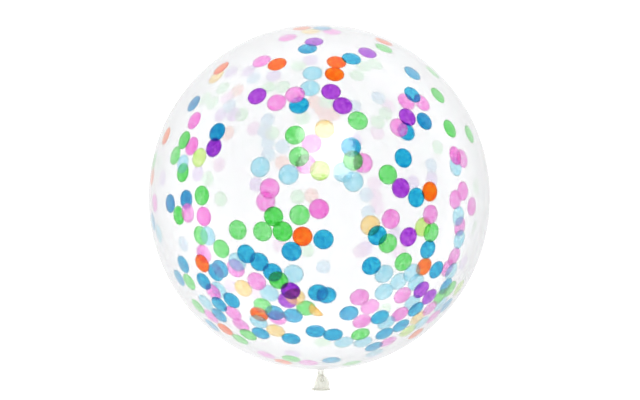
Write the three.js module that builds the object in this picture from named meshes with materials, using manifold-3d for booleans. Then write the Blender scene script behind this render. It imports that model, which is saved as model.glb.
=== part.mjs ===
// Giant clear latex balloon, lying on a small flat spot with its tied neck pointing along -Y.
// Millimetres, +Z up. The origin is the middle of the flat spot that the balloon rests on.
// The balloon is one dip-moulded piece: the blown-up ball, the gathered throat and the flared tail
// with its rolled rim. The ball is sealed, so it is one solid, and the tail's mouth is open.

import * as THREE from 'three';
import { ParametricGeometry } from 'three/addons/geometries/ParametricGeometry.js';
import { mergeVertices } from 'three/addons/utils/BufferGeometryUtils.js';
import Module from 'manifold-3d';

// The blown-up ball. It is a little longer along the neck's line than it is wide.
const BALL_DIAMETER = 1000;
const BALL_LENGTH = 1011;
const RESTING_SPOT_DIAMETER = 90;

// The throat, where the neck is gathered and tied shut, and the fan of film that leads into it
const THROAT_DIAMETER = 15;
const THROAT_LENGTH = 2;
const ROOT_FILLET = 6;
const NECK_OFFSET = 5;

// The flattened tail below the throat, open at its rolled rim
const TAIL_LENGTH = 53;
const TAIL_WIDTH = 47;
const TAIL_DEPTH = 20;
const TAIL_WALL = 1;
const SHOULDER_LENGTH = 25;
const SHOULDER_POWER = 2;
const RIM_ROLL_DIAMETER = 5.5;
const MOUTH_FLOOR_GAP = 10;
const MOUTH_FLOOR_ROUND = 4;

// Folds: pleats round the throat that fade out both ways, and one bulging fold on the left shoulder
const PLEAT_COUNT = 7;
const PLEAT_DEPTH = 1.2;
const PLEAT_FADE_LENGTH = 14;
const SHOULDER_FOLD_HEIGHT = 5;
const SHOULDER_FOLD_LENGTH = 7;
const SHOULDER_FOLD_ANGLE = 0.6;

// Facets
const FACETS_AROUND = 60;
const BALL_ROWS = 20;
const FILLET_ROWS = 4;
const TAIL_ROWS = 10;
const RIM_ROWS = 8;
const MOUTH_ROWS = 5;
const FLOOR_ROWS = 3;

const ballRadius = BALL_DIAMETER / 2;
const ballHalfLength = BALL_LENGTH / 2;
const throatRadius = THROAT_DIAMETER / 2;
const centreHeight = Math.sqrt(ballRadius ** 2 - (RESTING_SPOT_DIAMETER / 2) ** 2);

// Where the fillet leaves the ball, and the distances from the ball's centre that follow from it
const filletStart = Math.asin((throatRadius + ROOT_FILLET) / ballRadius);
const rootDistance = ballHalfLength * Math.cos(filletStart);
const throatStart = rootDistance + ROOT_FILLET;
const tailStart = throatStart + THROAT_LENGTH;

// A station is one ring of the skin: its distance from the ball's centre towards the neck, its half
// width along X and half depth along Z, how strongly it is pleated, and its shift along X.
function station(distance, halfWidth, halfDepth, pleat = 0, shift = 0) {
  return { distance, halfWidth, halfDepth, pleat, shift };
}

// The ball from the crown to where the fillet leaves it, as half an ellipse turned about the neck's line
function ballStations() {
  const rows = [];
  for (let row = 0; row <= BALL_ROWS; row += 1) {
    const angle = (row / BALL_ROWS) * (Math.PI / 2);
    const radius = ballRadius * Math.sin(angle);
    rows.push(station(-ballHalfLength * Math.cos(angle), radius, radius));
  }
  for (let row = 1; row <= BALL_ROWS; row += 1) {
    const angle = Math.PI / 2 - (row / BALL_ROWS) * (Math.PI / 2 - filletStart);
    const radius = ballRadius * Math.sin(angle);
    rows.push(station(ballHalfLength * Math.cos(angle), radius, radius));
  }
  return rows;
}

// The concave fan of film that narrows from the ball into the throat
function filletStations() {
  const rows = [];
  for (let row = 1; row <= FILLET_ROWS; row += 1) {
    const share = row / FILLET_ROWS;
    const angle = share * (Math.PI / 2);
    const radius = throatRadius + ROOT_FILLET * (1 - Math.sin(angle));
    const distance = rootDistance + ROOT_FILLET * (1 - Math.cos(angle));
    rows.push(station(distance, radius, radius, share, NECK_OFFSET));
  }
  return rows;
}

// How far the tail has opened towards a full half size, at a distance below the throat
function opened(fullHalf, below) {
  const narrowed = Math.exp(-((below / SHOULDER_LENGTH) ** SHOULDER_POWER));
  return fullHalf - (fullHalf - throatRadius) * narrowed;
}

// One ring of the tail. An inset of one wall gives the inside of the mouth.
function tailStation(below, inset, shrink = 1) {
  const halfWidth = (opened(TAIL_WIDTH / 2, below) - inset) * shrink;
  const halfDepth = (opened(TAIL_DEPTH / 2, below) - inset) * shrink;
  const pleat = Math.exp(-below / PLEAT_FADE_LENGTH) * shrink;
  return station(tailStart + below, halfWidth, halfDepth, pleat, NECK_OFFSET);
}

function tailStations() {
  const rows = [];
  for (let row = 0; row < TAIL_ROWS; row += 1) {
    rows.push(tailStation(TAIL_LENGTH * (row / TAIL_ROWS) ** 1.6, 0));
  }
  return rows;
}

// The rolled rim: a round bead on the outside of the tail's end, flush with the wall's inside
function rimStations() {
  const rows = [];
  const rollRadius = RIM_ROLL_DIAMETER / 2;
  const centreBelow = TAIL_LENGTH + rollRadius;
  const bead = tailStation(centreBelow, TAIL_WALL - rollRadius);
  const startAngle = Math.PI - Math.acos((rollRadius - TAIL_WALL) / rollRadius);
  for (let row = 0; row <= RIM_ROWS; row += 1) {
    const angle = startAngle - (row / RIM_ROWS) * (startAngle + Math.PI);
    const outwards = rollRadius * Math.cos(angle);
    const distance = bead.distance - rollRadius * Math.sin(angle);
    rows.push(station(distance, bead.halfWidth + outwards, bead.halfDepth + outwards, bead.pleat, bead.shift));
  }
  return rows;
}

// The inside of the mouth, from the rim up to its rounded floor just below the throat
function mouthStations() {
  const rows = [];
  const floorEdge = MOUTH_FLOOR_GAP + MOUTH_FLOOR_ROUND;
  const mouthEnd = TAIL_LENGTH + RIM_ROLL_DIAMETER / 2;
  for (let row = 1; row <= MOUTH_ROWS; row += 1) {
    rows.push(tailStation(mouthEnd - (row / MOUTH_ROWS) * (mouthEnd - floorEdge), TAIL_WALL));
  }
  for (let row = 1; row <= FLOOR_ROWS; row += 1) {
    const angle = (row / FLOOR_ROWS) * (Math.PI / 2);
    rows.push(tailStation(floorEdge - MOUTH_FLOOR_ROUND * Math.sin(angle), TAIL_WALL, Math.cos(angle)));
  }
  return rows;
}

// The uneven pleats, as a wave round the neck between about -1 and 1
function pleatWave(angle) {
  return (Math.cos(PLEAT_COUNT * angle + 0.6) + 0.5 * Math.cos(3 * angle + 2)) / 1.5;
}

// The bulging fold on the left shoulder, 0 away from it and 1 at its top
function shoulderFold(angle, below) {
  const aside = Math.abs(angle - Math.PI) / SHOULDER_FOLD_ANGLE;
  const along = (below - SHOULDER_FOLD_LENGTH) / SHOULDER_FOLD_LENGTH;
  return Math.exp(-(aside ** 2) - along ** 2);
}

// The closed skin: u runs once round the neck's line, v runs from the crown over the rim to the mouth's floor
function skinGeometry() {
  const rings = [
    ...ballStations(),
    ...filletStations(),
    ...tailStations(),
    ...rimStations(),
    ...mouthStations(),
  ];
  const lastRing = rings.length - 1;
  const place = (u, v, target) => {
    const ring = rings[Math.round(v * lastRing)];
    const angle = 2 * Math.PI * u;
    const fold = SHOULDER_FOLD_HEIGHT * shoulderFold(angle, ring.distance - tailStart);
    const bulge = ring.pleat * (PLEAT_DEPTH * pleatWave(angle) + fold);
    target.set(
      ring.shift + (ring.halfWidth + bulge) * Math.cos(angle),
      -ring.distance,
      (ring.halfDepth + bulge) * Math.sin(angle),
    );
  };
  return new ParametricGeometry(place, FACETS_AROUND, lastRing);
}

const wasm = await Module();
wasm.setup();

// A closed geometry as a solid: equal corners are merged and triangles that shrink to a line left out
function solidOf(geometry) {
  const bare = geometry.clone();
  bare.deleteAttribute('normal');
  bare.deleteAttribute('uv');
  const merged = mergeVertices(bare, 1e-4);
  const index = merged.index.array;
  const corners = [];
  for (let i = 0; i < index.length; i += 3) {
    const [a, b, c] = index.slice(i, i + 3);
    if (a !== b && b !== c && c !== a) {
      corners.push(a, b, c);
    }
  }
  return new wasm.Manifold(new wasm.Mesh({
    numProp: 3,
    vertProperties: new Float32Array(merged.attributes.position.array),
    triVerts: new Uint32Array(corners),
  }));
}

function geometryOf(solid) {
  const mesh = solid.getMesh();
  const geometry = new THREE.BufferGeometry();
  geometry.setAttribute('position', new THREE.BufferAttribute(mesh.vertProperties, 3));
  geometry.setIndex(new THREE.BufferAttribute(mesh.triVerts, 1));
  geometry.computeVertexNormals();
  return geometry;
}

// The surface that the ball is pressed flat against, as a slab whose top is at the resting height
function restingSlab() {
  const slab = new THREE.BoxGeometry(BALL_DIAMETER, BALL_LENGTH, ballRadius);
  slab.translate(0, 0, -centreHeight - ballRadius / 2);
  return slab;
}

const balloon = new THREE.Mesh(
  geometryOf(solidOf(skinGeometry()).subtract(solidOf(restingSlab()))),
  new THREE.MeshStandardMaterial({
    color: 0xf3f3ee,
    roughness: 0.15,
    metalness: 0,
    transparent: true,
    opacity: 0.35,
  }),
);
balloon.name = 'latex_balloon';
balloon.position.z = centreHeight;

const group = new THREE.Group();
group.add(balloon);

export default group;
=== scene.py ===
# Giant clear latex balloon with tissue paper confetti sealed in it, lying on a light table.
# Metres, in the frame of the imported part: +Z up, the tied neck towards -Y, the floor at z = 0.

import math

import bpy
import numpy as np
from bpy.props import FloatProperty, FloatVectorProperty, IntProperty, PointerProperty
from mathutils import Matrix, Vector


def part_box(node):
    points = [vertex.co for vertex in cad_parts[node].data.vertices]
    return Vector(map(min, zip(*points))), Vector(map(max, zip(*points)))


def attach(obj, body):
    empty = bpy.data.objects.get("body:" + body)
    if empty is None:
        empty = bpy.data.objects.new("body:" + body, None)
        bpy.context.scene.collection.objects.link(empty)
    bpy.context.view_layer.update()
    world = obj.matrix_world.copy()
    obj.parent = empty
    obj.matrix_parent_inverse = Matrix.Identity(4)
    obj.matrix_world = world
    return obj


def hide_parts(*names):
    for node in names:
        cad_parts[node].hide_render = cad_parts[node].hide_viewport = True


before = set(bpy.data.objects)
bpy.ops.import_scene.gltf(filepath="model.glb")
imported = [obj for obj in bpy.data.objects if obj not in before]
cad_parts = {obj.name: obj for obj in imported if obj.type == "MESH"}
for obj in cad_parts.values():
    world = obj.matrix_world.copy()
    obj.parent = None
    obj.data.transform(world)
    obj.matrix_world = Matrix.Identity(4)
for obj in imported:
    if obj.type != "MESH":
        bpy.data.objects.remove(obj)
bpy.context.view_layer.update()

bl_info = {
    "name": "Giant confetti balloon",
    "version": (1, 0, 0),
    "blender": (4, 5, 0),
    "location": "3D View > Sidebar > Balloon",
    "description": "Makes the balloon's film, the confetti sealed in it and the studio around it",
    "category": "Add Mesh",
}

CAD_NODE = "latex_balloon"
CAD_LOW, CAD_HIGH = (np.array(corner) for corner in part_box(CAD_NODE))
MM = 0.001


def hex_to_linear(text):
    """An sRGB hex colour such as "#2CB6DE" as linear red, green and blue: each channel below 0.04045
    is divided by 12.92, and any other is ((channel + 0.055) / 1.055) to the power 2.4."""
    channels = np.array([int(text[i:i + 2], 16) / 255 for i in (1, 3, 5)])
    low = channels / 12.92
    high = ((channels + 0.055) / 1.055) ** 2.4
    return tuple(np.where(channels <= 0.04045, low, high).tolist())


def length(name, description, default):
    """A length in metres, as a property of a piece."""
    return FloatProperty(
        name=name, description=description, default=default, min=0.0, unit="LENGTH", precision=4
    )


def colour(name, description, default):
    """A colour given as sRGB hex, as a property of a finish."""
    return FloatVectorProperty(
        name=name, description=description, default=hex_to_linear(default), subtype="COLOR", min=0.0, max=1.0
    )


class FilmSizes(bpy.types.PropertyGroup):
    """The sizes of the latex skin. The ball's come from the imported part."""

    ball_diameter: length("Ball diameter", "Across the ball, square to the neck", CAD_HIGH[0] - CAD_LOW[0])
    ball_half_length: length("Ball half length", "From the ball's centre to its crown", CAD_HIGH[1])
    centre_height: length(
        "Centre height", "From the floor to the ball's centre", CAD_HIGH[2] - (CAD_HIGH[0] - CAD_LOW[0]) / 2
    )
    throat_diameter: length("Throat diameter", "Across the gathered throat", 15 * MM)
    throat_length: length("Throat length", "Along the narrow stretch of the throat", 2 * MM)
    root_fillet: length("Root fillet", "Radius of the fan of film from the ball into the throat", 6 * MM)
    neck_offset: length("Neck offset", "How far the neck sits to the right of the ball's middle", 5 * MM)
    tail_length: length("Tail length", "From the throat to the rolled rim", 53 * MM)
    tail_width: length("Tail width", "Across the flattened tail", 47 * MM)
    tail_depth: length("Tail depth", "Through the flattened tail", 20 * MM)
    tail_lean: length("Tail lean", "How far the tail's middle sags to the right", 3 * MM)
    tail_wall: length("Tail wall", "Thickness of the film in the tail", 1 * MM)
    shoulder_length: length("Shoulder length", "How soon the tail opens below the throat", 25 * MM)
    shoulder_power: FloatProperty(
        name="Shoulder power", description="How suddenly the tail opens", default=2.0, min=1.0, max=4.0
    )
    rim_roll: length("Rim roll", "Diameter of the rolled rim", 5.5 * MM)
    mouth_floor: length("Mouth floor", "From the throat to the bottom of the mouth", 10 * MM)
    mouth_round: length("Mouth rounding", "How round the bottom of the mouth is", 4 * MM)
    pleat_depth: length("Pleat depth", "How deep the gathered film's pleats are", 1.2 * MM)
    pleat_fade: length("Pleat fade", "How soon the pleats flatten out below the throat", 14 * MM)
    shoulder_fold: length("Shoulder fold", "How far the fold on the left shoulder bulges", 5 * MM)
    shoulder_fold_below: length("Shoulder fold below", "From the throat down to that fold", 7 * MM)
    crease_depth: length("Crease depth", "How deep the creases below the throat are", 1.2 * MM)


class ConfettiSizes(bpy.types.PropertyGroup):
    """The sizes of the punched tissue discs."""

    diameter: length("Diameter", "Across one disc", 51.5 * MM)
    thickness: length("Thickness", "Thickness of one disc", 0.12 * MM)
    wall_gap: length("Wall gap", "From the film to the first disc on it", 0.5 * MM)
    layer_step: length("Layer step", "From one disc to the next where they overlap", 0.45 * MM)
    size_spread: FloatProperty(
        name="Size spread", description="How unevenly the discs are punched", default=0.008, min=0, max=0.1
    )
    hidden_share: FloatProperty(
        name="Hidden share",
        description="Share of the outer discs that have another behind them",
        default=0.55,
        min=0,
        max=1,
    )
    sides: IntProperty(name="Sides", description="Corners round one disc", default=26, min=8, max=64)
    fold_gap: length("Fold gap", "Between the two halves of a folded disc", 0.2 * MM)
    dye_spread: FloatProperty(
        name="Dye spread", description="How unevenly the discs took the dye", default=0.3, min=0, max=1
    )
    seed: IntProperty(name="Seed", description="Seed of the small differences between discs", default=7)


class ConfettiColours(bpy.types.PropertyGroup):
    """What one disc of each colour lets through."""

    petrol_blue: colour("Petrol blue", "Colour of the petrol blue tissue", "#2CB6DE")
    green: colour("Green", "Colour of the apple green tissue", "#88EA8C")
    pink: colour("Pink", "Colour of the orchid pink tissue", "#FAACEA")
    light_blue: colour("Light blue", "Colour of the pale blue tissue", "#BEEBF7")
    purple: colour("Purple", "Colour of the purple tissue", "#B650DE")
    orange: colour("Orange", "Colour of the orange tissue", "#FF7812")
    peach: colour("Peach", "Colour of the peach tissue", "#FFE6AC")
    lime: colour("Lime", "Colour of the lime tissue", "#DAF79C")


# The camera, fitted to the photograph: it looks straight down on the ball, with the neck at the picture's
# foot. Places and sizes in the picture are in its pixels.
PICTURE_SIZE = (640, 400)
BALL_CENTRE_PIXEL = (319.3, 197.1)
BALL_RADIUS_PIXELS = 171
FOCAL_PIXELS = 1046
CAMERA_DISTANCE = 3.1
SENSOR_WIDTH_MM = 36.0

# Where the middle of each disc is seen in the photograph, in its pixels, as read off it. The discs that
# lie over their neighbours on the near wall come first.
OVERLYING_PIXELS = {
    "purple": [(290.5, 291), (407.5, 117)],
    "petrol_blue": [(246, 254)],
    "light_blue": [
        (182.5, 164), (207.5, 236), (237, 262), (458.5, 216), (459.5, 239.5), (451.5, 271.5),
        (412, 273), (386.5, 323), (258.5, 322), (353.5, 181.5),
    ],
    "peach": [(295, 297), (318.5, 309)],
    "orange": [(259, 314.5), (202, 263.5)],
    "pink": [(295, 94.5), (406.5, 101.5), (399, 127.5), (187.5, 213)],
    "green": [(299, 156.5)],
}

NEAR_WALL_PIXELS = {
    "petrol_blue": [
        (193.5, 103.5), (307.5, 48.5), (299, 105), (351.5, 58.5), (412.5, 73), (412.5, 94.5),
        (424.5, 121), (406.5, 131.5), (403.5, 158), (416.5, 197.5), (217, 132), (186, 199.5),
        (170, 203.5), (351, 147), (323.5, 239.5), (291.5, 251.5), (259, 262), (272.5, 272.5),
        (220, 269), (215.5, 272.5), (183, 264.5), (179, 278), (203.5, 281.5), (231.5, 300.5),
        (219, 304.5), (219, 315.5), (274.5, 313), (293, 316), (318, 293), (326.5, 295.5), (349, 313.5),
        (371.5, 266), (377.5, 235.5), (428, 249.5), (436.5, 270), (446, 286.5), (416, 309.5),
        (380, 317.5), (401, 326), (384.5, 334), (315.5, 331.5), (333, 335), (291, 339), (260.5, 333.5),
        (374, 347), (446.5, 305.5), (331.5, 360.5), (212, 325.5), (153, 222), (322.5, 28),
    ],
    "green": [
        (295, 135), (358, 120.5), (388, 174.5), (353, 160.5), (438, 95), (450, 128.5), (469.5, 134),
        (384, 48), (184, 140), (175, 155.5), (182.5, 172.5), (201.5, 195.5), (178.5, 215.5),
        (200.5, 235.5), (237.5, 230), (262.5, 231.5), (282.5, 231.5), (273.5, 216.5), (299.5, 215),
        (221, 249), (278.5, 280.5), (189, 282), (198, 306.5), (262.5, 306), (306, 308.5), (248, 335),
        (240, 339.5), (388, 243.5), (403.5, 262), (431.5, 232.5), (450.5, 289), (440.5, 296.5),
        (360.5, 334.5), (291, 359), (433, 72), (154, 161), (352, 363.5),
    ],
    "pink": [
        (261.5, 61), (287.5, 37.5), (332, 31.5), (276.5, 102.5), (422, 102.5), (363, 163),
        (311.5, 143.5), (306, 164), (194, 120.5), (191.5, 146), (203.5, 216.5), (269.5, 188.5),
        (265.5, 201.5), (319, 209), (391, 219), (430.5, 214.5), (455.5, 155.5), (462.5, 158.5),
        (463, 191), (455.5, 199.5), (472, 206.5), (460, 226.5), (454.5, 256.5), (448, 268),
        (203.5, 254), (235.5, 268.5), (256.5, 281.5), (213, 292), (233, 313.5), (240.5, 325),
        (211, 316.5), (277.5, 318), (359.5, 297.5), (370, 307), (362, 321.5), (402.5, 295.5),
        (400, 314.5), (430, 308.5), (433.5, 317), (388, 342), (266, 355), (308.5, 363), (154.5, 203),
    ],
    "light_blue": [
        (312.5, 73), (310, 88), (260, 167), (288.5, 174.5), (343, 172), (456, 166.5), (293.5, 274),
        (269, 293.5), (218.5, 290), (205.5, 302.5), (384, 274), (399, 281.5), (416, 282.5), (384, 292),
        (412.5, 302.5), (344, 342.5), (363, 342.5), (421.5, 323), (441, 304.5), (158.5, 233.5),
        (374.5, 353.5),
    ],
    "purple": [
        (257, 96), (331, 91.5), (342.5, 105.5), (314, 41.5), (367.5, 52.5), (401, 188), (408.5, 237),
        (213.5, 147.5), (287.5, 300.5), (421.5, 290), (429.5, 297),
    ],
    "orange": [
        (277, 64), (336.5, 62), (334.5, 74), (221, 68), (430, 191.5), (302.5, 236.5), (424, 267),
        (225, 329.5), (384, 41.5), (283, 362), (416, 334), (302, 28), (166, 136), (152, 176.5),
    ],
    "peach": [
        (324.5, 129), (216, 76.5), (310.5, 31), (370.5, 225.5), (243, 288.5), (275.5, 331), (418, 318),
    ],
    "lime": [(199, 157.5), (320, 170.5), (423, 227), (408, 331), (459, 288)],
}

FAR_WALL_PIXELS = {
    "orange": [
        (314.5, 102), (322, 110.5), (333.5, 113.5), (326.5, 117), (282, 162.5), (227.5, 133),
        (237, 90.5), (311.5, 195.5),
    ],
    "purple": [
        (463.5, 263), (374, 356), (162, 178), (292.5, 354), (248.5, 70.5), (273.5, 75.5), (310.5, 60),
        (231, 72), (220.5, 114.5), (233.5, 114.5), (197.5, 173.5), (256, 184.5), (355, 140.5),
        (413, 182.5), (432, 178.5), (365, 248.5), (395.5, 233.5), (231, 286),
    ],
    "pink": [
        (227.5, 97.5), (219, 164.5), (253.5, 128.5), (343.5, 136.5), (377.5, 132.5), (388.5, 106),
        (374.5, 183.5), (375, 196.5), (377.5, 207.5), (360.5, 251.5), (399.5, 251.5), (256, 294),
        (279.5, 245),
    ],
    "petrol_blue": [
        (253.5, 78), (267.5, 120), (264, 131), (267.5, 142.5), (268, 154.5), (282.5, 146.5),
        (378.5, 97.5), (366.5, 195), (368.5, 212.5), (229, 105.5), (431.5, 165.5), (323.5, 267),
        (354, 106), (183, 244),
    ],
    "green": [
        (476.5, 186.5), (475.5, 228.5), (158, 163), (222.5, 88), (205, 98.5), (212, 102.5),
        (241.5, 114.5), (268.5, 87.5), (282.5, 86.5), (298.5, 65.5), (326, 102), (302.5, 118),
        (357, 75), (363.5, 66), (375, 64), (386, 113), (378, 122), (207.5, 179), (220.5, 199),
        (297.5, 197), (272, 133), (438, 147.5), (322.5, 342.5), (384.5, 309), (307, 250),
    ],
}

# Discs that took more dye than the others, by the places of their middles
DEEPLY_DYED_PIXELS = {
    (217, 132), (186, 199.5), (170, 203.5), (424.5, 121), (213.5, 147.5), (193.5, 103.5), (290.5, 291),
    (194, 120.5), (191.5, 146), (319, 209), (203.5, 216.5), (184, 140), (182.5, 172.5), (201.5, 195.5),
    (178.5, 215.5), (450, 128.5), (469.5, 134), (438, 95), (455.5, 155.5), (278.5, 280.5),
    (282.5, 231.5), (273.5, 216.5),
}

# Discs folded in half: the place of the middle, and one further along the fold line. Seen from outside
# the ball, the half on the left of that line lies folded under.
FOLDED_PIXELS = {(318.5, 309): (325, 315), (475.5, 228.5): (478, 221)}


def closed_skin(name, rings, folded):
    """A closed mesh from rings of points, an array (rows, around, 3) whose first and last rows are single
    points. Quads join each ring to the next, and triangles join the end points to the rings beside them.
    The array folded, (rows, around), becomes the attribute "folded"."""
    rows, around = rings.shape[0] - 2, rings.shape[1]
    points = np.concatenate([rings[:1, 0], rings[1:-1].reshape(-1, 3), rings[-1:, 0]])
    here = np.arange(around)
    there = (here + 1) % around
    row = 1 + np.arange(rows - 1)[:, None] * around
    quads = np.stack([row + here, row + there, row + around + there, row + around + here], -1).reshape(-1, 4)
    last = 1 + (rows - 1) * around
    start = np.stack([np.zeros_like(here), 1 + there, 1 + here], -1)
    end = np.stack([np.full_like(here, len(points) - 1), last + here, last + there], -1)
    mesh = bpy.data.meshes.new(name)
    mesh.from_pydata(points.tolist(), [], start.tolist() + quads.tolist() + end.tolist())
    values = np.concatenate([folded[0, :1], folded[1:-1].ravel(), folded[-1, :1]]).astype(np.float32)
    # The attribute "folded" darkens the film: partly thicker film at the rolled rim and in the creases,
    # partly painted shade there
    mesh.attributes.new("folded", "FLOAT", "POINT").data.foreach_set("value", values)
    mesh.shade_smooth()
    mesh.update()
    return mesh


def link_piece(name, mesh, material):
    """A new object at the origin, in the scene, with its one material."""
    mesh.materials.append(material)
    piece = bpy.data.objects.new(name, mesh)
    bpy.context.scene.collection.objects.link(piece)
    return piece


# How many rings of points each stretch of the skin has, counting the one it shares with its neighbour
HALF_BALL_RINGS = 61
FAN_RINGS = 15
TAIL_RINGS = 40
RIM_RINGS = 20
MOUTH_RINGS = 20
FLOOR_RINGS = 8
# The angle of the ball's last ring but one, as a multiple of its last ring's: so close to it that the fan
# of film into the throat doesn't bend the ball's smooth shading
LAST_BALL_RING = 1.04


def film_profile(sizes):
    """The rings of the skin from the crown to the mouth's floor, one column each: distance from the ball's
    centre towards the neck, half width, half depth, how strongly pleated, the shift to the right, and 1
    where the film is rolled up at the rim."""
    radius, half_length = sizes.ball_diameter / 2, sizes.ball_half_length
    throat, fillet = sizes.throat_diameter / 2, sizes.root_fillet
    start = math.asin((throat + fillet) / radius)
    root = half_length * math.cos(start)
    tail = root + fillet + sizes.throat_length

    def column(distance, half_width, half_depth, pleat, shift, rolled=0.0):
        return np.stack(np.broadcast_arrays(distance, half_width, half_depth, pleat, shift, rolled), -1)

    def opened(full, below):
        narrowed = np.exp(-(below / sizes.shoulder_length) ** sizes.shoulder_power)
        return full / 2 - (full / 2 - throat) * narrowed

    def tail_rings(below, inset, shrink=1.0):
        width = (opened(sizes.tail_width, below) - inset) * shrink
        depth = (opened(sizes.tail_depth, below) - inset) * shrink
        lean = sizes.tail_lean * np.sin(math.pi * np.clip(below / sizes.tail_length, 0, 1) ** 1.5)
        pleat = np.exp(-below / sizes.pleat_fade) * shrink
        return column(tail + below, width, depth, pleat, sizes.neck_offset + lean)

    crown = np.linspace(math.pi, math.pi / 2, HALF_BALL_RINGS)[:-1]
    foot = np.linspace(math.pi / 2, start * LAST_BALL_RING, HALF_BALL_RINGS)
    turn = np.concatenate([crown, foot, [start]])
    ball = column(half_length * np.cos(turn), radius * np.sin(turn), radius * np.sin(turn), 0.0, 0.0)
    turn = np.linspace(0, math.pi / 2, FAN_RINGS)[1:]
    fan_radius = throat + fillet * (1 - np.sin(turn))
    eased = (turn / (math.pi / 2)) ** 1.5
    fan_distance = root + fillet * (1 - np.cos(turn))
    fan = column(fan_distance, fan_radius, fan_radius, eased, sizes.neck_offset * eased)
    outside = tail_rings(sizes.tail_length * np.linspace(0, 1, TAIL_RINGS)[:-1] ** 1.4, 0.0)
    roll = sizes.rim_roll / 2
    bead_start = math.pi - math.acos((roll - sizes.tail_wall) / roll)
    turn = np.linspace(bead_start, -math.pi, RIM_RINGS)
    bead = tail_rings(np.array([sizes.tail_length + roll]), sizes.tail_wall - roll)[0]
    outwards = roll * np.cos(turn)
    rim = column(
        bead[0] - roll * np.sin(turn), bead[1] + outwards, bead[2] + outwards, bead[3], bead[4], 1.0
    )
    edge = sizes.mouth_floor + sizes.mouth_round
    inside = tail_rings(np.linspace(sizes.tail_length + roll, edge, MOUTH_RINGS)[1:], sizes.tail_wall)
    turn = np.linspace(0, math.pi / 2, FLOOR_RINGS)[1:]
    floor = tail_rings(edge - sizes.mouth_round * np.sin(turn), sizes.tail_wall, np.cos(turn))
    return np.concatenate([ball, fan, outside, rim, inside, floor]), tail


# The creases on the neck's upper side. Places are how far to the right of the neck's middle and how far
# below the throat they lie, and depths are shares of the crease depth. Each arm of the V runs up from its
# foot by its slope, and ends as high above the foot as its top.
V_FOOT = (1.5 * MM, 17 * MM)
V_ARMS = (
    {"slope": -0.89, "top": 15 * MM, "width": 2.1 * MM},
    {"slope": 0.31, "top": 19 * MM, "width": 1.5 * MM},
)
V_DEPTH = 0.85
V_TOP_FADE = 3 * MM
V_FOOT_FADE = 2 * MM
SHOULDER_LINE = {"below": 16 * MM, "left_of": 4 * MM, "fade": 3 * MM, "width": 1.2 * MM, "depth": 0.5}
CURL = {"middle": (1.2 * MM, 27.5 * MM), "radius": 4.6 * MM, "width": 1.5 * MM, "depth": 0.75}
# The creases start this far above the throat, and reach round to where this many times the sine of the
# angle from the neck's side falls below 1
CREASED_ABOVE_THROAT = 4 * MM
CREASED_SIDE = 4
# How much darker the rolled rim looks, from 0 to 1: partly its thicker rolled film, partly painted shade
RIM_DENSE_AND_SHADED = 0.4

# The pleats round the throat, and how wide the left shoulder's fold is as an angle round the neck
PLEAT_COUNT = 7
SHOULDER_FOLD_ANGLE = 0.6


def crease(distance, width):
    """A crease across its line: exp(-(distance from the line / width) ** 2)."""
    return np.exp(-(distance / width) ** 2)


def neck_creases(across, below):
    """How deep the neck's upper side is creased, from 0 to 1, by how far across and below the throat: two
    arms that run together into a V, one line under the left shoulder's fold and a round curl at the V's
    foot. The arms and the line fade in at their ends."""
    up = V_FOOT[1] - below
    creases = np.zeros_like(across + below)
    for arm in V_ARMS:
        off = (across - V_FOOT[0] - arm["slope"] * up) / math.hypot(1, arm["slope"])
        below_top = np.clip((arm["top"] - up) / V_TOP_FADE, 0, 1)
        above_foot = np.clip((up + V_FOOT_FADE) / V_FOOT_FADE, 0, 1)
        creases = np.maximum(creases, V_DEPTH * below_top * above_foot * crease(off, arm["width"]))
    line = SHOULDER_LINE
    reach = np.clip((-across - line["left_of"]) / line["fade"], 0, 1)
    shoulder = line["depth"] * crease(below - line["below"], line["width"]) * reach
    out = np.hypot(across - CURL["middle"][0], below - CURL["middle"][1])
    curl = CURL["depth"] * crease(out - CURL["radius"], CURL["width"])
    return np.maximum(np.maximum(creases, shoulder), curl)


def neck_bulge(angle, below, pleat, sizes):
    """How far the neck swells outwards: uneven pleats, which are seven waves of cos round it and three more
    of half their height laid over them, and the fold on the left shoulder, which is
    exp(-(angle aside / its angle) ** 2 - (distance along / its place) ** 2)."""
    wave = (np.cos(PLEAT_COUNT * angle + 0.6) + 0.5 * np.cos(3 * angle + 2)) / 1.5
    aside = (angle - math.pi) / SHOULDER_FOLD_ANGLE
    along = (below - sizes.shoulder_fold_below) / sizes.shoulder_fold_below
    shoulder = sizes.shoulder_fold * np.exp(-aside ** 2 - along ** 2)
    return pleat * (sizes.pleat_depth * wave + shoulder)


def film_rings(sizes, around=240):
    """The skin as rings of points, and how darkened the film is at each, for its thicker rolled rim and
    folds and for the painted shade in the neck's creases: each ring is an ellipse across the neck's line,
    (half width + bulge) * cos(angle) across and (half depth + bulge) * sin(angle) through, its upper side
    sinks in at the creases, and whatever would sink into the floor is pressed flat on it."""
    profile, tail = film_profile(sizes)
    distance, half_width, half_depth, pleat, shift, rolled = (profile[:, i, None] for i in range(6))
    angle = np.linspace(0, 2 * math.pi, around, endpoint=False)[None, :]
    below = distance - tail
    bulge = neck_bulge(angle, below, pleat, sizes)
    across = (half_width + bulge) * np.cos(angle)
    through = (half_depth + bulge) * np.sin(angle)
    outside = (np.arange(len(profile)) < rolled.argmax() + 1)[:, None] & (below > -CREASED_ABOVE_THROAT)
    upper_side = np.clip(CREASED_SIDE * np.sin(angle), 0, 1)
    creases = neck_creases(across, below) * np.where(outside, upper_side, 0)
    height = np.maximum(sizes.centre_height + through - sizes.crease_depth * creases, 0.0)
    rings = np.stack(np.broadcast_arrays(shift + across, -distance, height), -1)
    # The creases' depth also darkens the film there, and the rim is darkened: partly thicker film, partly
    # painted shade
    return rings, np.maximum(creases, RIM_DENSE_AND_SHADED * rolled)


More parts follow.
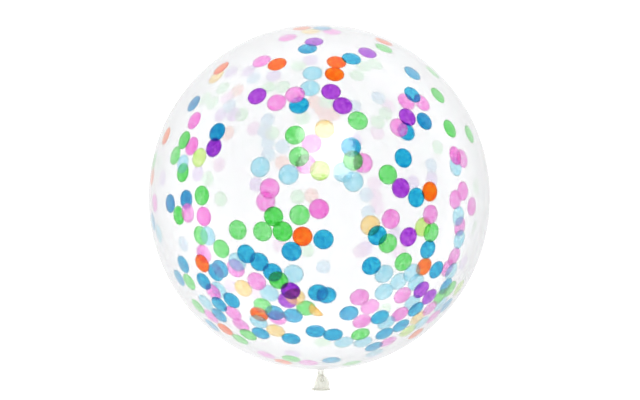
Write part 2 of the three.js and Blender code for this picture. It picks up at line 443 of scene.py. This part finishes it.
def wall_points(directions, sizes, inset):
    """Points on the ball's wall, moved in by inset: an ellipsoid round the neck's line whose half sizes are
    less by the inset, where the given directions from its centre meet it, and never below the flat spot."""
    half = np.array([sizes.ball_diameter / 2, sizes.ball_half_length, sizes.ball_diameter / 2])
    inset = np.broadcast_to(inset, directions.shape[:-1])[..., None]
    reach = 1 / np.linalg.norm(directions / (half - inset), axis=-1, keepdims=True)
    points = directions * reach + np.array([0, 0, sizes.centre_height])
    points[..., 2] = np.maximum(points[..., 2], inset[..., 0])
    return points


def seen_directions(pixels, sizes, far):
    """Unit directions from the ball's centre to where the camera's rays through the pixels meet the wall.
    The ray's first meeting is on the near wall and its second on the far one. A ray that just misses the
    ball is given the place on the limb that it passes closest to."""
    pixels = np.array(pixels, float)
    eye = camera_place(sizes)
    right = (pixels[:, 0] - PICTURE_SIZE[0] / 2) / FOCAL_PIXELS
    up = (PICTURE_SIZE[1] / 2 - pixels[:, 1]) / FOCAL_PIXELS
    rays = np.stack([right, up, np.full(len(pixels), -1.0)], -1)
    half = np.array([sizes.ball_diameter / 2, sizes.ball_half_length, sizes.ball_diameter / 2])
    centre = np.array([0, 0, sizes.centre_height])
    start, step = (eye - centre) / half, rays / half
    a = (step ** 2).sum(-1)
    b = (start * step).sum(-1)
    c = (start ** 2).sum(-1) - 1
    root = np.sqrt(np.maximum(b ** 2 - a * c, 0))
    reach = (-b + np.where(far, root, -root)) / a
    meeting = eye + rays * reach[:, None] - centre
    return meeting / np.linalg.norm(meeting, axis=-1, keepdims=True)


# The discs seen between these shares of the ball's radius may have another behind them, about this far aside
HIDDEN_FROM, HIDDEN_TO = 0.45, 0.97
HIDDEN_ASIDE_PIXELS = 0.7


def hidden_directions(film, sizes, rng):
    """Directions of guessed discs on the far wall, which the photograph doesn't show: behind a random share
    of the discs seen in its outer part, each in line with the one in front of it, and a little aside."""
    pixels = np.concatenate([np.array(places) for places in NEAR_WALL_PIXELS.values()])
    middle = np.array(BALL_CENTRE_PIXEL)
    outward = np.linalg.norm(pixels - middle, axis=-1) / BALL_RADIUS_PIXELS
    pixels = pixels[(outward > HIDDEN_FROM) & (outward < HIDDEN_TO)]
    pixels = pixels[rng.random(len(pixels)) < sizes.hidden_share]
    return seen_directions(pixels + rng.normal(0, HIDDEN_ASIDE_PIXELS, pixels.shape), film, True)


def fold_directions(pixels, directions, film):
    """For each disc folded in half the unit direction along the wall to the half that lies under, which is
    the outward direction crossed with the fold line's, and nothing for the flat ones."""
    folds = np.zeros_like(directions)
    for middle, along in FOLDED_PIXELS.items():
        disc = pixels.index(middle)
        far = directions[disc, 2] < 0
        line = seen_directions([along], film, far)[0] - directions[disc]
        under = np.cross(directions[disc], line)
        folds[disc] = under / np.linalg.norm(under)
    return folds


def stack_layers(directions, reach):
    """The layer of each disc on the wall: the lowest that no earlier disc closer than reach has taken."""
    layers = np.zeros(len(directions), int)
    for i in range(1, len(directions)):
        near = np.arccos(np.clip(directions[:i] @ directions[i], -1, 1)) < reach
        taken = set(layers[:i][near].tolist())
        layers[i] = next(layer for layer in range(len(taken) + 1) if layer not in taken)
    return layers


def disc_mesh(name, directions, layers, dye, folds, sizes, film, rng):
    """Closed thin round discs that follow the wall. Each has an outer and an inner face, both a middle point
    and a round of corners at middle direction + (cos, sin) of the round's angle * radius, put on the wall at
    the depth of its layer. Where a disc is folded, the corners beyond the fold line are mirrored in it and
    lie a little deeper. Attribute "radius" runs from 0 in the middle to 1 at the edge, and "dye" is one
    number for each disc."""
    count, sides = len(directions), sizes.sides
    steep = np.abs(directions[:, 2:]) > 0.9
    helper = np.where(steep, [[1.0, 0, 0]], [[0, 0, 1.0]])
    first = np.cross(directions, helper)
    first /= np.linalg.norm(first, axis=-1, keepdims=True)
    second = np.cross(directions, first)
    turn = np.linspace(0, 2 * math.pi, sides, endpoint=False) + rng.uniform(0, 1, (count, 1))
    size = sizes.diameter / film.ball_diameter * rng.normal(1, sizes.size_spread, (count, 1))
    rounds = (np.cos(turn) * size)[..., None] * first[:, None]
    rounds = rounds + (np.sin(turn) * size)[..., None] * second[:, None]
    beyond = np.maximum((rounds * folds[:, None]).sum(-1), 0)
    rounds = directions[:, None] + rounds - 2 * beyond[..., None] * folds[:, None]
    spots = np.concatenate([directions[:, None], rounds], 1)
    spots = spots / np.linalg.norm(spots, axis=-1, keepdims=True)
    depth = np.pad(sizes.fold_gap * (beyond > 0), ((0, 0), (1, 0)))
    depth = depth + (sizes.wall_gap + layers * sizes.layer_step)[:, None]
    outer = wall_points(spots, film, depth)
    inner = wall_points(spots, film, depth + sizes.thickness)
    points = np.concatenate([outer, inner], 1).reshape(-1, 3)
    corner = 1 + np.arange(sides)
    after = 1 + (np.arange(sides) + 1) % sides
    back = sides + 1
    outer_fan = np.stack([np.zeros_like(corner), corner, after], -1)
    inner_fan = np.stack([np.full_like(corner, back), back + after, back + corner], -1)
    edge = np.stack([corner, back + corner, back + after, after], -1)
    start = (np.arange(count) * 2 * back)[:, None, None]
    faces = (start + outer_fan).reshape(-1, 3).tolist() + (start + inner_fan).reshape(-1, 3).tolist()
    faces += (start + edge).reshape(-1, 4).tolist()
    mesh = bpy.data.meshes.new(name)
    mesh.from_pydata(points.tolist(), [], faces)
    radius = np.ones((count, 2, back), np.float32)
    radius[:, :, 0] = 0
    mesh.attributes.new("radius", "FLOAT", "POINT").data.foreach_set("value", radius.ravel())
    mesh.attributes.new("dye", "FLOAT", "POINT").data.foreach_set("value", np.repeat(dye, 2 * back))
    mesh.update()
    return mesh


def add_node(tree, kind, settings=None, **links):
    """Adds a node of a kind to a tree. Settings are its attributes and the plain values of its inputs, and
    links are the outputs that its inputs take. An input goes by its name, with _ for each space, by its
    identifier where a node has several of one name, or by _ and its number."""
    node = tree.nodes.new(kind)

    def find(key):
        if key[1:].isdigit():
            return node.inputs[int(key[1:])]
        for socket in node.inputs:
            if socket.identifier == key or socket.name == key.replace("_", " "):
                return socket
        raise KeyError(f"{kind} has no input {key}")

    for key, value in (settings or {}).items():
        if hasattr(node, key):
            setattr(node, key, value)
        else:
            find(key).default_value = value
    for key, output in links.items():
        tree.links.new(output, find(key))
    return node


def new_material(name):
    """An empty node material and its output node."""
    material = bpy.data.materials.new(name)
    material.use_nodes = True
    material.node_tree.nodes.clear()
    output = material.node_tree.nodes.new("ShaderNodeOutputMaterial")
    return material, material.node_tree, output


def opaque(text):
    """An sRGB hex colour as a linear colour with full alpha, as colour sockets take it."""
    return (*hex_to_linear(text), 1)


WHITE = opaque("#FFFFFF")

# What share of the light the film mirrors: head on, as its refractive index of 1.52 gives, and at a
# grazing angle, where its fine ripples keep it below a flat sheet's
HEAD_ON_SHINE = 0.043
GRAZING_SHINE = 0.5
SHINE_ROUGHNESS = 0.12
# How much of the light the stretched film scatters head on, and how much of that comes back edge on. From
# these slants on, where 0 is head on and 1 edge on, it scatters more and turns greyer.
SCATTERED_HEAD_ON = 0.81
BACKWARD_EDGE_ON = 0.7
SCATTERS_MORE_FROM = 0.4
GREYS_FROM = 0.45
# How much of the light the slack film scatters, and how much of that comes back, flat and where it is
# darkened at folds and the rolled rim, partly by painted shade
SLACK_SCATTERED = 0.38
SLACK_BACKWARD = 0.4
DENSE_AND_SHADED_BACKWARD = 0.5
# Along the neck's line, from where to where the film turns from stretched to slack: this far before the
# ball's end, and this far beyond it
SLACK_BEFORE = 1.5 * MM
SLACK_BEYOND = 5.5 * MM


def stretched_latex(tree, slant):
    """The blown-up film. Head on, its milky solids scatter most of the light forwards and let the rest
    straight through. The more it is seen at a slant, the more of them lie in the way: it scatters all, turns
    greyer, and sends more of it back."""
    scattered = add_node(
        tree, "ShaderNodeMapRange",
        {
            "interpolation_type": "SMOOTHSTEP", "From Min": SCATTERS_MORE_FROM, "From Max": 1.0,
            "To Min": SCATTERED_HEAD_ON, "To Max": 1.0,
        },
        Value=slant,
    ).outputs["Result"]
    deep = add_node(
        tree, "ShaderNodeMapRange",
        {"From Min": GREYS_FROM, "From Max": 1.0, "To Min": 0.0, "To Max": 1.0},
        Value=slant,
    ).outputs["Result"]
    veil = add_node(
        tree, "ShaderNodeMix", {"data_type": "RGBA", "A_Color": WHITE, "B_Color": opaque("#D7D7D8")},
        Factor_Float=deep,
    ).outputs[2]
    clear = add_node(tree, "ShaderNodeBsdfTransparent", {"Color": WHITE}).outputs[0]
    forward = add_node(tree, "ShaderNodeBsdfTranslucent", None, Color=veil).outputs[0]
    backward = add_node(tree, "ShaderNodeBsdfDiffuse", None, Color=veil).outputs[0]
    share = add_node(
        tree, "ShaderNodeMath", {"operation": "MULTIPLY", "_1": BACKWARD_EDGE_ON}, _0=deep
    ).outputs[0]
    haze = add_node(tree, "ShaderNodeMixShader", None, Fac=share, _1=forward, _2=backward).outputs[0]
    return add_node(tree, "ShaderNodeMixShader", None, Fac=scattered, _1=clear, _2=haze).outputs[0]


def slack_latex(tree):
    """The unstretched film of the neck, milky and a little warm. It still shows light through it. Where it
    is folded in the creases or rolled up at the rim it is darker: partly thicker film, partly painted shade."""
    warm, dense_and_shaded = opaque("#FEFEFB"), opaque("#C6C6B8")
    see = add_node(tree, "ShaderNodeBsdfTransparent", {"Color": warm}).outputs[0]
    glow = add_node(tree, "ShaderNodeBsdfTranslucent", {"Color": warm}).outputs[0]
    milk = add_node(tree, "ShaderNodeBsdfDiffuse", {"Color": warm}).outputs[0]
    scattering = add_node(tree, "ShaderNodeMixShader", {"Fac": SLACK_BACKWARD}, _1=glow, _2=milk).outputs[0]
    single = add_node(
        tree, "ShaderNodeMixShader", {"Fac": SLACK_SCATTERED}, _1=see, _2=scattering
    ).outputs[0]
    # Darker, denser film for the creases and the rim: partly thicker film, partly painted shade
    dim_glow = add_node(tree, "ShaderNodeBsdfTranslucent", {"Color": dense_and_shaded}).outputs[0]
    dim_milk = add_node(tree, "ShaderNodeBsdfDiffuse", {"Color": dense_and_shaded}).outputs[0]
    doubled_and_shaded = add_node(
        tree, "ShaderNodeMixShader", {"Fac": DENSE_AND_SHADED_BACKWARD}, _1=dim_glow, _2=dim_milk
    ).outputs[0]
    # The attribute "folded" says where that darker film, with its painted shade, takes over
    folded = add_node(tree, "ShaderNodeAttribute", {"attribute_name": "folded"}).outputs["Fac"]
    return add_node(tree, "ShaderNodeMixShader", None, Fac=folded, _1=single, _2=doubled_and_shaded).outputs[0]


def dipped_latex(sizes):
    """Natural latex, dip-moulded and blown up to a thin film. Stretched, it is nearly clear, but its milky
    solids scatter most of what passes: what touches it looks sharp and what is far behind it looks pale.
    Unstretched, at the neck, it is a warm milky white. Its surface is smooth, and mirrors the share
    head-on shine + (grazing shine - head-on shine) * slant ** 5."""
    material, tree, output = new_material("dipped_natural_latex")
    place = add_node(tree, "ShaderNodeTexCoord").outputs["Object"]
    along = add_node(tree, "ShaderNodeSeparateXYZ", None, Vector=place).outputs["Y"]
    slack = add_node(
        tree, "ShaderNodeMapRange",
        {
            "interpolation_type": "SMOOTHSTEP", "From Min": SLACK_BEFORE - sizes.ball_half_length,
            "From Max": -SLACK_BEYOND - sizes.ball_half_length, "To Min": 0.0, "To Max": 1.0,
        },
        Value=along,
    ).outputs["Result"]
    slant = add_node(tree, "ShaderNodeLayerWeight", {"Blend": 0.5}).outputs["Facing"]
    stretched, unstretched = stretched_latex(tree, slant), slack_latex(tree)
    body = add_node(tree, "ShaderNodeMixShader", None, Fac=slack, _1=stretched, _2=unstretched).outputs[0]
    grazing = add_node(tree, "ShaderNodeMath", {"operation": "POWER", "_1": 5.0}, _0=slant).outputs[0]
    shine = add_node(
        tree, "ShaderNodeMath",
        {"operation": "MULTIPLY_ADD", "_1": GRAZING_SHINE - HEAD_ON_SHINE, "_2": HEAD_ON_SHINE},
        _0=grazing,
    ).outputs[0]
    gloss = add_node(
        tree, "ShaderNodeBsdfGlossy", {"Roughness": SHINE_ROUGHNESS, "Color": WHITE}
    ).outputs[0]
    mixed = add_node(tree, "ShaderNodeMixShader", None, Fac=shine, _1=body, _2=gloss).outputs[0]
    tree.links.new(mixed, output.inputs["Surface"])
    return material


# What share of its shade squared a colour's tissue reflects. The rest of its shade goes through. Pale
# tissue is filled with white pigment, and dark tissue is only dyed.
REFLECTED_SHARE = {
    "petrol_blue": 0.05, "green": 0.25, "pink": 0.6, "light_blue": 0.3, "purple": 0.15, "orange": 0.5,
    "peach": 0.5, "lime": 0.4,
}
# A deeply dyed disc's shade is the plain shade to this power
DEEP_DYE = 1.6
# How wide the tissue's clouds and tufts are, and how far each moves its shade over the whole range of its
# noise, where 1 is the step from plain to deeply dyed
CLOUD_WIDTH, CLOUD_SPREAD = 14 * MM, 2.0
TUFT_WIDTH, TUFT_SPREAD = 6 * MM, 4.0
# From this share of its radius outwards a disc is packed by the punch, down to this share of its light
PACKED_FROM, PACKED_LEVEL = 0.86, 0.8


def face_shares(shade, reflected):
    """What each of a thin disc's two faces reflects and lets through, so that the whole disc shows its
    shade: the disc reflects the given share of the shade squared and passes the rest, and light goes to
    and fro between its faces."""
    back = reflected * shade ** 2
    through = shade - back
    face_back = back / (1 + through)
    face_through = np.sqrt(through * (1 - face_back ** 2))
    return face_back, face_through


def tissue_paper(name, shade, reflected):
    """Punched tissue paper, machine-made and dyed through: light glows through its soft fibres, so
    overlapping discs darken each other. Clouds and tufts of fibres make its shade uneven, the punch packs
    its edge a little darker, and no two discs took the dye quite alike. Real tufts are 1 to 2 mm wide. They
    are drawn 6 mm wide, because finer ones don't show."""
    material, tree, output = new_material(f"punched_tissue_{name}")
    place = add_node(tree, "ShaderNodeTexCoord").outputs["Object"]
    clouds = add_node(
        tree, "ShaderNodeTexNoise", {"Scale": 1 / CLOUD_WIDTH, "Detail": 2.0}, Vector=place
    ).outputs[0]
    tufts = add_node(
        tree, "ShaderNodeTexNoise",
        {"Scale": 1 / TUFT_WIDTH, "Detail": 1.0, "Distortion": 1.0},
        Vector=place,
    ).outputs[0]
    radius = add_node(tree, "ShaderNodeAttribute", {"attribute_name": "radius"}).outputs["Fac"]
    level = add_node(
        tree, "ShaderNodeMapRange",
        {"From Min": PACKED_FROM, "From Max": 1.0, "To Min": 1.0, "To Max": PACKED_LEVEL},
        Value=radius,
    ).outputs["Result"]
    dye = add_node(tree, "ShaderNodeAttribute", {"attribute_name": "dye"}).outputs["Fac"]
    for source, spread in ((clouds, CLOUD_SPREAD), (tufts, TUFT_SPREAD)):
        uneven = add_node(
            tree, "ShaderNodeMapRange", {"To Min": -spread / 2, "To Max": spread / 2}, Value=source
        ).outputs["Result"]
        dye = add_node(tree, "ShaderNodeMath", {"operation": "ADD"}, _0=dye, _1=uneven).outputs[0]
    pale = face_shares(np.array(shade), reflected)
    deep = face_shares(np.array(shade) ** DEEP_DYE, reflected)
    shaders = []
    for kind, weak, strong in zip(("ShaderNodeBsdfDiffuse", "ShaderNodeBsdfTranslucent"), pale, deep):
        dyed = add_node(
            tree, "ShaderNodeMix",
            {"data_type": "RGBA", "clamp_factor": False, "A_Color": (*weak, 1), "B_Color": (*strong, 1)},
            Factor_Float=dye,
        ).outputs[2]
        packed = add_node(
            tree, "ShaderNodeVectorMath", {"operation": "SCALE"}, _0=dyed, Scale=level
        ).outputs[0]
        shaders.append(add_node(tree, kind, None, Color=packed).outputs[0])
    both = add_node(tree, "ShaderNodeAddShader", None, _0=shaders[0], _1=shaders[1]).outputs[0]
    tree.links.new(both, output.inputs["Surface"])
    return material


# The studio, in metres. The floor glows evenly. The sky is bright at the horizon and dims smoothly to the
# ceiling's level at the given height, and it grows stronger towards the fill light's side, over the given
# range of the cosine of the angle from it.
FLOOR_HALF_WIDTH = 60.0
FLOOR_DROP = 0.5 * MM
FLOOR_GLOW = 1.1
CEILING_FROM, CEILING_LEVEL = 0.45, 0.12
FILL_SIDE = (-0.4, -0.92, 0)
FILL_FROM, FILL_TO = -0.3, 0.9
FILL_DIMMEST, FILL_BRIGHTEST = 0.2, 4.2
SOFTBOX_AIM = (0.075, 0.47, 0.88)
SOFTBOX_DISTANCE = 5.0
SOFTBOX_WIDTH, SOFTBOX_LENGTH = 2.8, 2.75
SOFTBOX_RADIANCE = 8.8


def light_table():
    """A light table, which is a matt opal acrylic sheet lit from below. It is plain white, and even under
    what lies on it."""
    material, tree, output = new_material("opal_acrylic")
    sheet = add_node(tree, "ShaderNodeBsdfDiffuse", {"Color": opaque("#898989")}).outputs[0]
    lamps = add_node(tree, "ShaderNodeEmission", {"Color": WHITE, "Strength": FLOOR_GLOW}).outputs[0]
    both = add_node(tree, "ShaderNodeAddShader", None, _0=sheet, _1=lamps).outputs[0]
    tree.links.new(both, output.inputs["Surface"])
    return material


def floor_square():
    """A square a little below the balloon's flat spot, so that the two faces don't meet."""
    half = FLOOR_HALF_WIDTH
    mesh = bpy.data.meshes.new("studio_floor")
    corners = [(x, y, -FLOOR_DROP) for x, y in ((-half, -half), (half, -half), (half, half), (-half, half))]
    mesh.from_pydata(corners, [], [(0, 1, 2, 3)])
    return mesh


def studio_sky():
    """A white sky, whose strength is one smooth step of its height times another towards the fill's side."""
    world = bpy.data.worlds.new("studio")
    world.use_nodes = True
    tree = world.node_tree
    tree.nodes.clear()
    way = add_node(tree, "ShaderNodeTexCoord").outputs["Generated"]
    up = add_node(tree, "ShaderNodeSeparateXYZ", None, Vector=way).outputs["Z"]
    dim = add_node(
        tree, "ShaderNodeMapRange",
        {
            "interpolation_type": "SMOOTHSTEP", "From Min": 0.0, "From Max": CEILING_FROM,
            "To Min": 1.0, "To Max": CEILING_LEVEL,
        },
        Value=up,
    ).outputs["Result"]
    aside = add_node(
        tree, "ShaderNodeVectorMath", {"operation": "DOT_PRODUCT", "_1": FILL_SIDE}, _0=way
    ).outputs["Value"]
    fill = add_node(
        tree, "ShaderNodeMapRange",
        {
            "interpolation_type": "SMOOTHSTEP", "From Min": FILL_FROM, "From Max": FILL_TO,
            "To Min": FILL_DIMMEST, "To Max": FILL_BRIGHTEST,
        },
        Value=aside,
    ).outputs["Result"]
    strength = add_node(tree, "ShaderNodeMath", {"operation": "MULTIPLY"}, _0=dim, _1=fill).outputs[0]
    sky = add_node(tree, "ShaderNodeBackground", {"Color": WHITE}, Strength=strength).outputs[0]
    add_node(tree, "ShaderNodeOutputWorld", None, Surface=sky)
    return world


def softbox(sizes):
    """A rectangular lamp that faces the ball's centre, whose mirror image is the glare on top of the film.
    Its power is its radiance * pi * its area."""
    aim = Vector(SOFTBOX_AIM).normalized()
    across = Vector((0, 1, 0)).cross(aim).normalized()
    lamp = bpy.data.lights.new("softbox", "AREA")
    lamp.shape = "RECTANGLE"
    lamp.size, lamp.size_y = SOFTBOX_WIDTH, SOFTBOX_LENGTH
    lamp.energy = SOFTBOX_RADIANCE * math.pi * SOFTBOX_WIDTH * SOFTBOX_LENGTH
    stand = bpy.data.objects.new("softbox", lamp)
    turn = Matrix((across, aim.cross(across), aim)).transposed().to_4x4()
    place = Vector((0, 0, sizes.centre_height)) + aim * SOFTBOX_DISTANCE
    stand.matrix_world = Matrix.Translation(place) @ turn
    return stand


def camera_place(sizes):
    """Straight above the ball's centre at the photograph's distance, moved aside so that the ball's centre
    falls on its pixel instead of the picture's middle."""
    aside = (PICTURE_SIZE[0] / 2 - BALL_CENTRE_PIXEL[0]) * CAMERA_DISTANCE / FOCAL_PIXELS
    down = (BALL_CENTRE_PIXEL[1] - PICTURE_SIZE[1] / 2) * CAMERA_DISTANCE / FOCAL_PIXELS
    return np.array([aside, down, sizes.centre_height + CAMERA_DISTANCE])


def overhead_camera(sizes):
    """The camera, level and unturned, so that it looks straight down."""
    lens = bpy.data.cameras.new("camera")
    lens.sensor_width = SENSOR_WIDTH_MM
    lens.lens = FOCAL_PIXELS / PICTURE_SIZE[0] * SENSOR_WIDTH_MM
    camera = bpy.data.objects.new("camera", lens)
    camera.location = camera_place(sizes)
    return camera


class BALLOON_OT_film(bpy.types.Operator):
    """Make the balloon's skin: the ball, the gathered throat and the flared tail with its rolled rim"""

    bl_idname = "balloon.film"
    bl_label = "Latex film"

    def execute(self, context):
        sizes = context.scene.balloon_film
        film = link_piece("latex_film", closed_skin("latex_film", *film_rings(sizes)), dipped_latex(sizes))
        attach(film, "root")
        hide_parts(CAD_NODE)
        return {"FINISHED"}


class BALLOON_OT_confetti(bpy.types.Operator):
    """Make the tissue discs that cling to the inside of the ball, one mesh for each colour"""

    bl_idname = "balloon.confetti"
    bl_label = "Confetti"

    def execute(self, context):
        film, sizes = context.scene.balloon_film, context.scene.balloon_confetti
        shades = context.scene.balloon_colours
        rng = np.random.default_rng(sizes.seed)
        names, pixels, places = [], [], []
        for far, table in ((False, OVERLYING_PIXELS), (False, NEAR_WALL_PIXELS), (True, FAR_WALL_PIXELS)):
            for name, spots in table.items():
                names += [name] * len(spots)
                pixels += spots
                places.append(seen_directions(spots, film, far))
        places.append(hidden_directions(film, sizes, rng))
        names = np.concatenate([names, rng.choice(names, len(places[-1]))])
        places = np.concatenate(places)
        dye = rng.uniform(0, sizes.dye_spread, len(names)).astype(np.float32)
        dye[[disc for disc, spot in enumerate(pixels) if spot in DEEPLY_DYED_PIXELS]] = 1.0
        folds = fold_directions(pixels, places, film)
        layers = stack_layers(places, 2 * sizes.diameter / film.ball_diameter)
        for name in NEAR_WALL_PIXELS:
            mine = names == name
            mesh = disc_mesh(
                f"confetti_{name}", places[mine], layers[mine], dye[mine], folds[mine], sizes, film, rng
            )
            paper = tissue_paper(name, getattr(shades, name), REFLECTED_SHARE[name])
            piece = link_piece(f"confetti_{name}", mesh, paper)
            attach(piece, "root")
        return {"FINISHED"}


class BALLOON_OT_stage(bpy.types.Operator):
    """Make the light table, the soft studio light and the camera"""

    bl_idname = "balloon.stage"
    bl_label = "Studio"

    def execute(self, context):
        scene = context.scene
        film = scene.balloon_film
        mesh = floor_square()
        link_piece("studio_floor", mesh, light_table())
        scene.world = studio_sky()
        scene.collection.objects.link(softbox(film))
        camera = overhead_camera(film)
        scene.collection.objects.link(camera)
        scene.camera = camera
        scene.view_settings.view_transform = "Standard"
        # Enough bounces for light to cross the film and the discs on both walls, with two faces each
        scene.cycles.transparent_max_bounces = 32
        scene.cycles.max_bounces = 24
        scene.cycles.diffuse_bounces = 6
        scene.cycles.transmission_bounces = 24
        return {"FINISHED"}


class BALLOON_PT_panel(bpy.types.Panel):
    """Lists the balloon's operators and sizes"""

    bl_label = "Giant confetti balloon"
    bl_idname = "BALLOON_PT_panel"
    bl_space_type = "VIEW_3D"
    bl_region_type = "UI"
    bl_category = "Balloon"

    def draw(self, context):
        for operator in (BALLOON_OT_film, BALLOON_OT_confetti, BALLOON_OT_stage):
            self.layout.operator(operator.bl_idname)
        scene = context.scene
        for group in (scene.balloon_film, scene.balloon_confetti, scene.balloon_colours):
            column = self.layout.column()
            for name in group.bl_rna.properties.keys():
                if name not in {"rna_type", "name"}:
                    column.prop(group, name)


CLASSES = (
    FilmSizes, ConfettiSizes, ConfettiColours, BALLOON_OT_film, BALLOON_OT_confetti, BALLOON_OT_stage,
    BALLOON_PT_panel,
)


def register():
    """Makes the classes and the three groups of properties known to Blender."""
    for cls in CLASSES:
        bpy.utils.register_class(cls)
    bpy.types.Scene.balloon_film = PointerProperty(type=FilmSizes)
    bpy.types.Scene.balloon_confetti = PointerProperty(type=ConfettiSizes)
    bpy.types.Scene.balloon_colours = PointerProperty(type=ConfettiColours)


def unregister():
    """Takes back what register did, in the other order."""
    del bpy.types.Scene.balloon_colours
    del bpy.types.Scene.balloon_confetti
    del bpy.types.Scene.balloon_film
    for cls in reversed(CLASSES):
        bpy.utils.unregister_class(cls)


def main():
    """Makes everything in order."""
    register()
    bpy.ops.balloon.film()
    bpy.ops.balloon.confetti()
    bpy.ops.balloon.stage()


if __name__ == "__main__":
    main()
